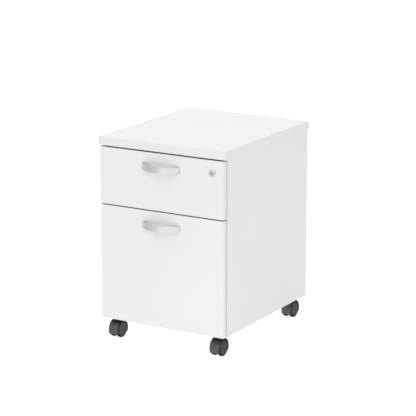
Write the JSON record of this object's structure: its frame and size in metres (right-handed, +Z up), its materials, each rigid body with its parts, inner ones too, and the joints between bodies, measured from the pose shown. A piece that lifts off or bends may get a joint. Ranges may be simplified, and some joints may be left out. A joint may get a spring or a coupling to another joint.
{
  "type": "rolling pedestal cabinet",
  "caption": "White mobile pedestal cabinet with an overhanging top, a shallow lockable drawer over a deep file drawer, bow handles and hooded twin-wheel casters.",
  "frame": {"origin": "bottom centre of the bounding box, on the floor", "axes": "+X to the cabinet's right as seen from the front, +Y from front to back, +Z up"},
  "size_m": [0.423, 0.526, 0.606],
  "materials": {
    "white_melamine": "satin melamine on particle board",
    "drawer_board": "matt melamine on particle board",
    "dowel_wood": "bare beech",
    "satin_nickel": "satin nickel plate",
    "lock_core": "satin, with a dark keyway",
    "zinc_steel": "bright zinc plate",
    "caster_hood_plastic": "fine-textured charcoal nylon",
    "caster_wheel_plastic": "smooth charcoal nylon"
  },
  "bodies": {
    "carcass": {"top_panel": "white_melamine", "left_side_panel": "white_melamine", "right_side_panel": "white_melamine", "bottom_panel": "white_melamine", "back_panel": "white_melamine", "lock_rail": "white_melamine", "panel_dowels": "dowel_wood", "slide_outer_screws": "zinc_steel", "caster_screws": "zinc_steel", "upper_left_slide_outer": "zinc_steel", "upper_right_slide_outer": "zinc_steel", "lower_left_slide_outer": "zinc_steel", "lower_right_slide_outer": "zinc_steel", "front_left_caster_plate": "zinc_steel", "front_right_caster_plate": "zinc_steel", "rear_left_caster_plate": "zinc_steel", "rear_right_caster_plate": "zinc_steel"},
    "upper_drawer": {"upper_left_slide_inner": "zinc_steel", "upper_right_slide_inner": "zinc_steel", "upper_drawer_left_side": "drawer_board", "upper_drawer_right_side": "drawer_board", "upper_drawer_front": "white_melamine", "upper_drawer_back": "drawer_board", "upper_drawer_bottom": "drawer_board", "upper_handle": "satin_nickel", "upper_handle_screws": "zinc_steel", "upper_slide_inner_screws": "zinc_steel", "lock_housing": "satin_nickel"},
    "lower_drawer": {"lower_left_slide_inner": "zinc_steel", "lower_right_slide_inner": "zinc_steel", "lower_drawer_left_side": "drawer_board", "lower_drawer_right_side": "drawer_board", "lower_drawer_front": "white_melamine", "lower_drawer_back": "drawer_board", "lower_drawer_bottom": "drawer_board", "lower_handle": "satin_nickel", "lower_handle_screws": "zinc_steel", "lower_slide_inner_screws": "zinc_steel"},
    "lock_barrel": {"lock_plug": "lock_core", "lock_cam": "zinc_steel"},
    "upper_left_middle_rail": {"upper_left_slide_middle": "zinc_steel"},
    "upper_right_middle_rail": {"upper_right_slide_middle": "zinc_steel"},
    "lower_left_middle_rail": {"lower_left_slide_middle": "zinc_steel"},
    "lower_right_middle_rail": {"lower_right_slide_middle": "zinc_steel"},
    "front_left_caster": {"front_left_caster_hood": "caster_hood_plastic", "front_left_caster_axle": "zinc_steel"},
    "front_left_left_wheel": {"front_left_caster_left_wheel": "caster_wheel_plastic"},
    "front_left_right_wheel": {"front_left_caster_right_wheel": "caster_wheel_plastic"},
    "front_right_caster": {"front_right_caster_hood": "caster_hood_plastic", "front_right_caster_axle": "zinc_steel"},
    "front_right_left_wheel": {"front_right_caster_left_wheel": "caster_wheel_plastic"},
    "front_right_right_wheel": {"front_right_caster_right_wheel": "caster_wheel_plastic"},
    "rear_left_caster": {"rear_left_caster_hood": "caster_hood_plastic", "rear_left_caster_axle": "zinc_steel"},
    "rear_left_left_wheel": {"rear_left_caster_left_wheel": "caster_wheel_plastic"},
    "rear_left_right_wheel": {"rear_left_caster_right_wheel": "caster_wheel_plastic"},
    "rear_right_caster": {"rear_right_caster_hood": "caster_hood_plastic", "rear_right_caster_axle": "zinc_steel"},
    "rear_right_left_wheel": {"rear_right_caster_left_wheel": "caster_wheel_plastic"},
    "rear_right_right_wheel": {"rear_right_caster_right_wheel": "caster_wheel_plastic"}
  },
  "joints": [
    {"name": "upper_drawer_slide", "type": "slide", "parent": "carcass", "child": "upper_drawer", "axis": [0, -1, 0], "range_m": [0, 0.4]},
    {"name": "upper_left_rail_slide", "type": "slide", "parent": "carcass", "child": "upper_left_middle_rail", "axis": [0, -1, 0], "range_m": [0, 0.2]},
    {"name": "upper_right_rail_slide", "type": "slide", "parent": "carcass", "child": "upper_right_middle_rail", "axis": [0, -1, 0], "range_m": [0, 0.2]},
    {"name": "lower_drawer_slide", "type": "slide", "parent": "carcass", "child": "lower_drawer", "axis": [0, -1, 0], "range_m": [0, 0.4]},
    {"name": "lower_left_rail_slide", "type": "slide", "parent": "carcass", "child": "lower_left_middle_rail", "axis": [0, -1, 0], "range_m": [0, 0.2]},
    {"name": "lower_right_rail_slide", "type": "slide", "parent": "carcass", "child": "lower_right_middle_rail", "axis": [0, -1, 0], "range_m": [0, 0.2]},
    {"name": "lock_turn", "type": "hinge", "parent": "upper_drawer", "child": "lock_barrel", "pos_m": [0.169, -0.237, 0.54], "axis": [0, 1, 0], "range_deg": [0, 90]},
    {"name": "front_left_swivel", "type": "hinge", "parent": "carcass", "child": "front_left_caster", "pos_m": [-0.172, -0.19, 0.05], "axis": [0, 0, 1], "continuous": true},
    {"name": "front_left_left_wheel_roll", "type": "hinge", "parent": "front_left_caster", "child": "front_left_left_wheel", "pos_m": [-0.172, -0.203, 0.025], "axis": [1, 0, 0], "continuous": true},
    {"name": "front_left_right_wheel_roll", "type": "hinge", "parent": "front_left_caster", "child": "front_left_right_wheel", "pos_m": [-0.172, -0.203, 0.025], "axis": [1, 0, 0], "continuous": true},
    {"name": "front_right_swivel", "type": "hinge", "parent": "carcass", "child": "front_right_caster", "pos_m": [0.172, -0.19, 0.05], "axis": [0, 0, 1], "continuous": true},
    {"name": "front_right_left_wheel_roll", "type": "hinge", "parent": "front_right_caster", "child": "front_right_left_wheel", "pos_m": [0.172, -0.203, 0.025], "axis": [1, 0, 0], "continuous": true},
    {"name": "front_right_right_wheel_roll", "type": "hinge", "parent": "front_right_caster", "child": "front_right_right_wheel", "pos_m": [0.172, -0.203, 0.025], "axis": [1, 0, 0], "continuous": true},
    {"name": "rear_left_swivel", "type": "hinge", "parent": "carcass", "child": "rear_left_caster", "pos_m": [-0.172, 0.216, 0.05], "axis": [0, 0, 1], "continuous": true},
    {"name": "rear_left_left_wheel_roll", "type": "hinge", "parent": "rear_left_caster", "child": "rear_left_left_wheel", "pos_m": [-0.172, 0.229, 0.025], "axis": [1, 0, 0], "continuous": true},
    {"name": "rear_left_right_wheel_roll", "type": "hinge", "parent": "rear_left_caster", "child": "rear_left_right_wheel", "pos_m": [-0.172, 0.229, 0.025], "axis": [1, 0, 0], "continuous": true},
    {"name": "rear_right_swivel", "type": "hinge", "parent": "carcass", "child": "rear_right_caster", "pos_m": [0.172, 0.216, 0.05], "axis": [0, 0, 1], "continuous": true},
    {"name": "rear_right_left_wheel_roll", "type": "hinge", "parent": "rear_right_caster", "child": "rear_right_left_wheel", "pos_m": [0.172, 0.229, 0.025], "axis": [1, 0, 0], "continuous": true},
    {"name": "rear_right_right_wheel_roll", "type": "hinge", "parent": "rear_right_caster", "child": "rear_right_right_wheel", "pos_m": [0.172, 0.229, 0.025], "axis": [1, 0, 0], "continuous": true}
  ],
  "couplings": [
    {"joint": "upper_left_rail_slide", "follows": "upper_drawer_slide", "ratio": 0.5},
    {"joint": "upper_right_rail_slide", "follows": "upper_drawer_slide", "ratio": 0.5},
    {"joint": "lower_left_rail_slide", "follows": "lower_drawer_slide", "ratio": 0.5},
    {"joint": "lower_right_rail_slide", "follows": "lower_drawer_slide", "ratio": 0.5}
  ]
}
